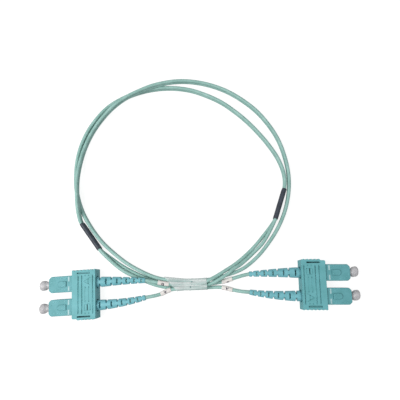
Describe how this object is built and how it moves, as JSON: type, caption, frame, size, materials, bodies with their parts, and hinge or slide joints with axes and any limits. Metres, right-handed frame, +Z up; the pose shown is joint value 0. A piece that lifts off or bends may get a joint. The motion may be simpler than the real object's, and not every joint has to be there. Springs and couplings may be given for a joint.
{
  "type": "fiber optic patch cord",
  "caption": "Looped duplex fibre patch cord with clipped push-pull plugs, slotted boots, dust caps, heat-shrink sleeves, leg labels and a clear film wrap.",
  "frame": {"origin": "on the table, under the middle of the box round both plug pairs", "axes": "+X from the left plug pair to the right one, +Y towards the cable loop, +Z up"},
  "size_m": [0.1805, 0.1461, 0.0096],
  "materials": {
    "aqua_plastic": "satin",
    "frame_plastic": "satin",
    "boot_rubber": "satin",
    "cable_jacket": "satin",
    "heat_shrink": "matte",
    "cap_plastic": "translucent satin",
    "label_sleeve": "matte",
    "clear_film": "clear gloss",
    "ceramic": "polished",
    "nickel": "plated",
    "crimp_metal": "plated",
    "spring_steel": "drawn wire",
    "glass_fibre": "clear"
  },
  "bodies": {
    "cable_core": {"left_a_plug_frame": "frame_plastic", "left_a_spring": "spring_steel", "left_a_spring_body": "nickel", "left_a_crimp_sleeve": "crimp_metal", "left_a_boot": "boot_rubber", "left_a_leg": "cable_jacket", "left_a_label": "label_sleeve", "left_b_plug_frame": "frame_plastic", "left_b_spring": "spring_steel", "left_b_spring_body": "nickel", "left_b_crimp_sleeve": "crimp_metal", "left_b_boot": "boot_rubber", "left_b_leg": "cable_jacket", "left_b_label": "label_sleeve", "right_a_plug_frame": "frame_plastic", "right_a_spring": "spring_steel", "right_a_spring_body": "nickel", "right_a_crimp_sleeve": "crimp_metal", "right_a_boot": "boot_rubber", "right_a_leg": "cable_jacket", "right_a_label": "label_sleeve", "right_b_plug_frame": "frame_plastic", "right_b_spring": "spring_steel", "right_b_spring_body": "nickel", "right_b_crimp_sleeve": "crimp_metal", "right_b_boot": "boot_rubber", "right_b_leg": "cable_jacket", "right_b_label": "label_sleeve", "left_shrink_sleeve": "heat_shrink", "right_shrink_sleeve": "heat_shrink", "trunk_cable": "cable_jacket", "film_wrap": "clear_film"},
    "left_grip": {"left_clip_upper": "aqua_plastic", "left_clip_lower": "aqua_plastic", "left_a_outer_housing": "aqua_plastic", "left_b_outer_housing": "aqua_plastic"},
    "left_a_ferrule_unit": {"left_a_ferrule": "ceramic", "left_a_ferrule_flange": "nickel", "left_a_fibre": "glass_fibre"},
    "left_a_cap": {"left_a_dust_cap": "cap_plastic"},
    "left_b_ferrule_unit": {"left_b_ferrule": "ceramic", "left_b_ferrule_flange": "nickel", "left_b_fibre": "glass_fibre"},
    "left_b_cap": {"left_b_dust_cap": "cap_plastic"},
    "right_grip": {"right_clip_upper": "aqua_plastic", "right_clip_lower": "aqua_plastic", "right_a_outer_housing": "aqua_plastic", "right_b_outer_housing": "aqua_plastic"},
    "right_a_ferrule_unit": {"right_a_ferrule": "ceramic", "right_a_ferrule_flange": "nickel", "right_a_fibre": "glass_fibre"},
    "right_a_cap": {"right_a_dust_cap": "cap_plastic"},
    "right_b_ferrule_unit": {"right_b_ferrule": "ceramic", "right_b_ferrule_flange": "nickel", "right_b_fibre": "glass_fibre"},
    "right_b_cap": {"right_b_dust_cap": "cap_plastic"}
  },
  "joints": [
    {"name": "left_grip_slide", "type": "slide", "parent": "cable_core", "child": "left_grip", "axis": [0.9979, 0.0645, 0], "range_m": [-0.001, 0.001]},
    {"name": "left_a_ferrule_float", "type": "slide", "parent": "cable_core", "child": "left_a_ferrule_unit", "axis": [0.9979, 0.0645, 0], "range_m": [0, 0.001], "stiffness_N_per_m": 2000, "springref_m": -0.0045, "deforming": ["left_a_spring"]},
    {"name": "left_a_cap_pull", "type": "slide", "parent": "left_a_ferrule_unit", "child": "left_a_cap", "axis": [-0.9979, -0.0645, 0], "range_m": [0, 0.012]},
    {"name": "left_b_ferrule_float", "type": "slide", "parent": "cable_core", "child": "left_b_ferrule_unit", "axis": [0.9979, 0.0645, 0], "range_m": [0, 0.001], "stiffness_N_per_m": 2000, "springref_m": -0.0045, "deforming": ["left_b_spring"]},
    {"name": "left_b_cap_pull", "type": "slide", "parent": "left_b_ferrule_unit", "child": "left_b_cap", "axis": [-0.9979, -0.0645, 0], "range_m": [0, 0.012]},
    {"name": "right_grip_slide", "type": "slide", "parent": "cable_core", "child": "right_grip", "axis": [-1, 0, 0], "range_m": [0, 0.002]},
    {"name": "right_a_ferrule_float", "type": "slide", "parent": "cable_core", "child": "right_a_ferrule_unit", "axis": [-1, 0, 0], "range_m": [0, 0.001], "stiffness_N_per_m": 2000, "springref_m": -0.0045, "deforming": ["right_a_spring"]},
    {"name": "right_a_cap_pull", "type": "slide", "parent": "right_a_ferrule_unit", "child": "right_a_cap", "axis": [1, 0, 0], "range_m": [0, 0.012]},
    {"name": "right_b_ferrule_float", "type": "slide", "parent": "cable_core", "child": "right_b_ferrule_unit", "axis": [-1, 0, 0], "range_m": [0, 0.001], "stiffness_N_per_m": 2000, "springref_m": -0.0045, "deforming": ["right_b_spring"]},
    {"name": "right_b_cap_pull", "type": "slide", "parent": "right_b_ferrule_unit", "child": "right_b_cap", "axis": [1, 0, 0], "range_m": [0, 0.012]}
  ]
}
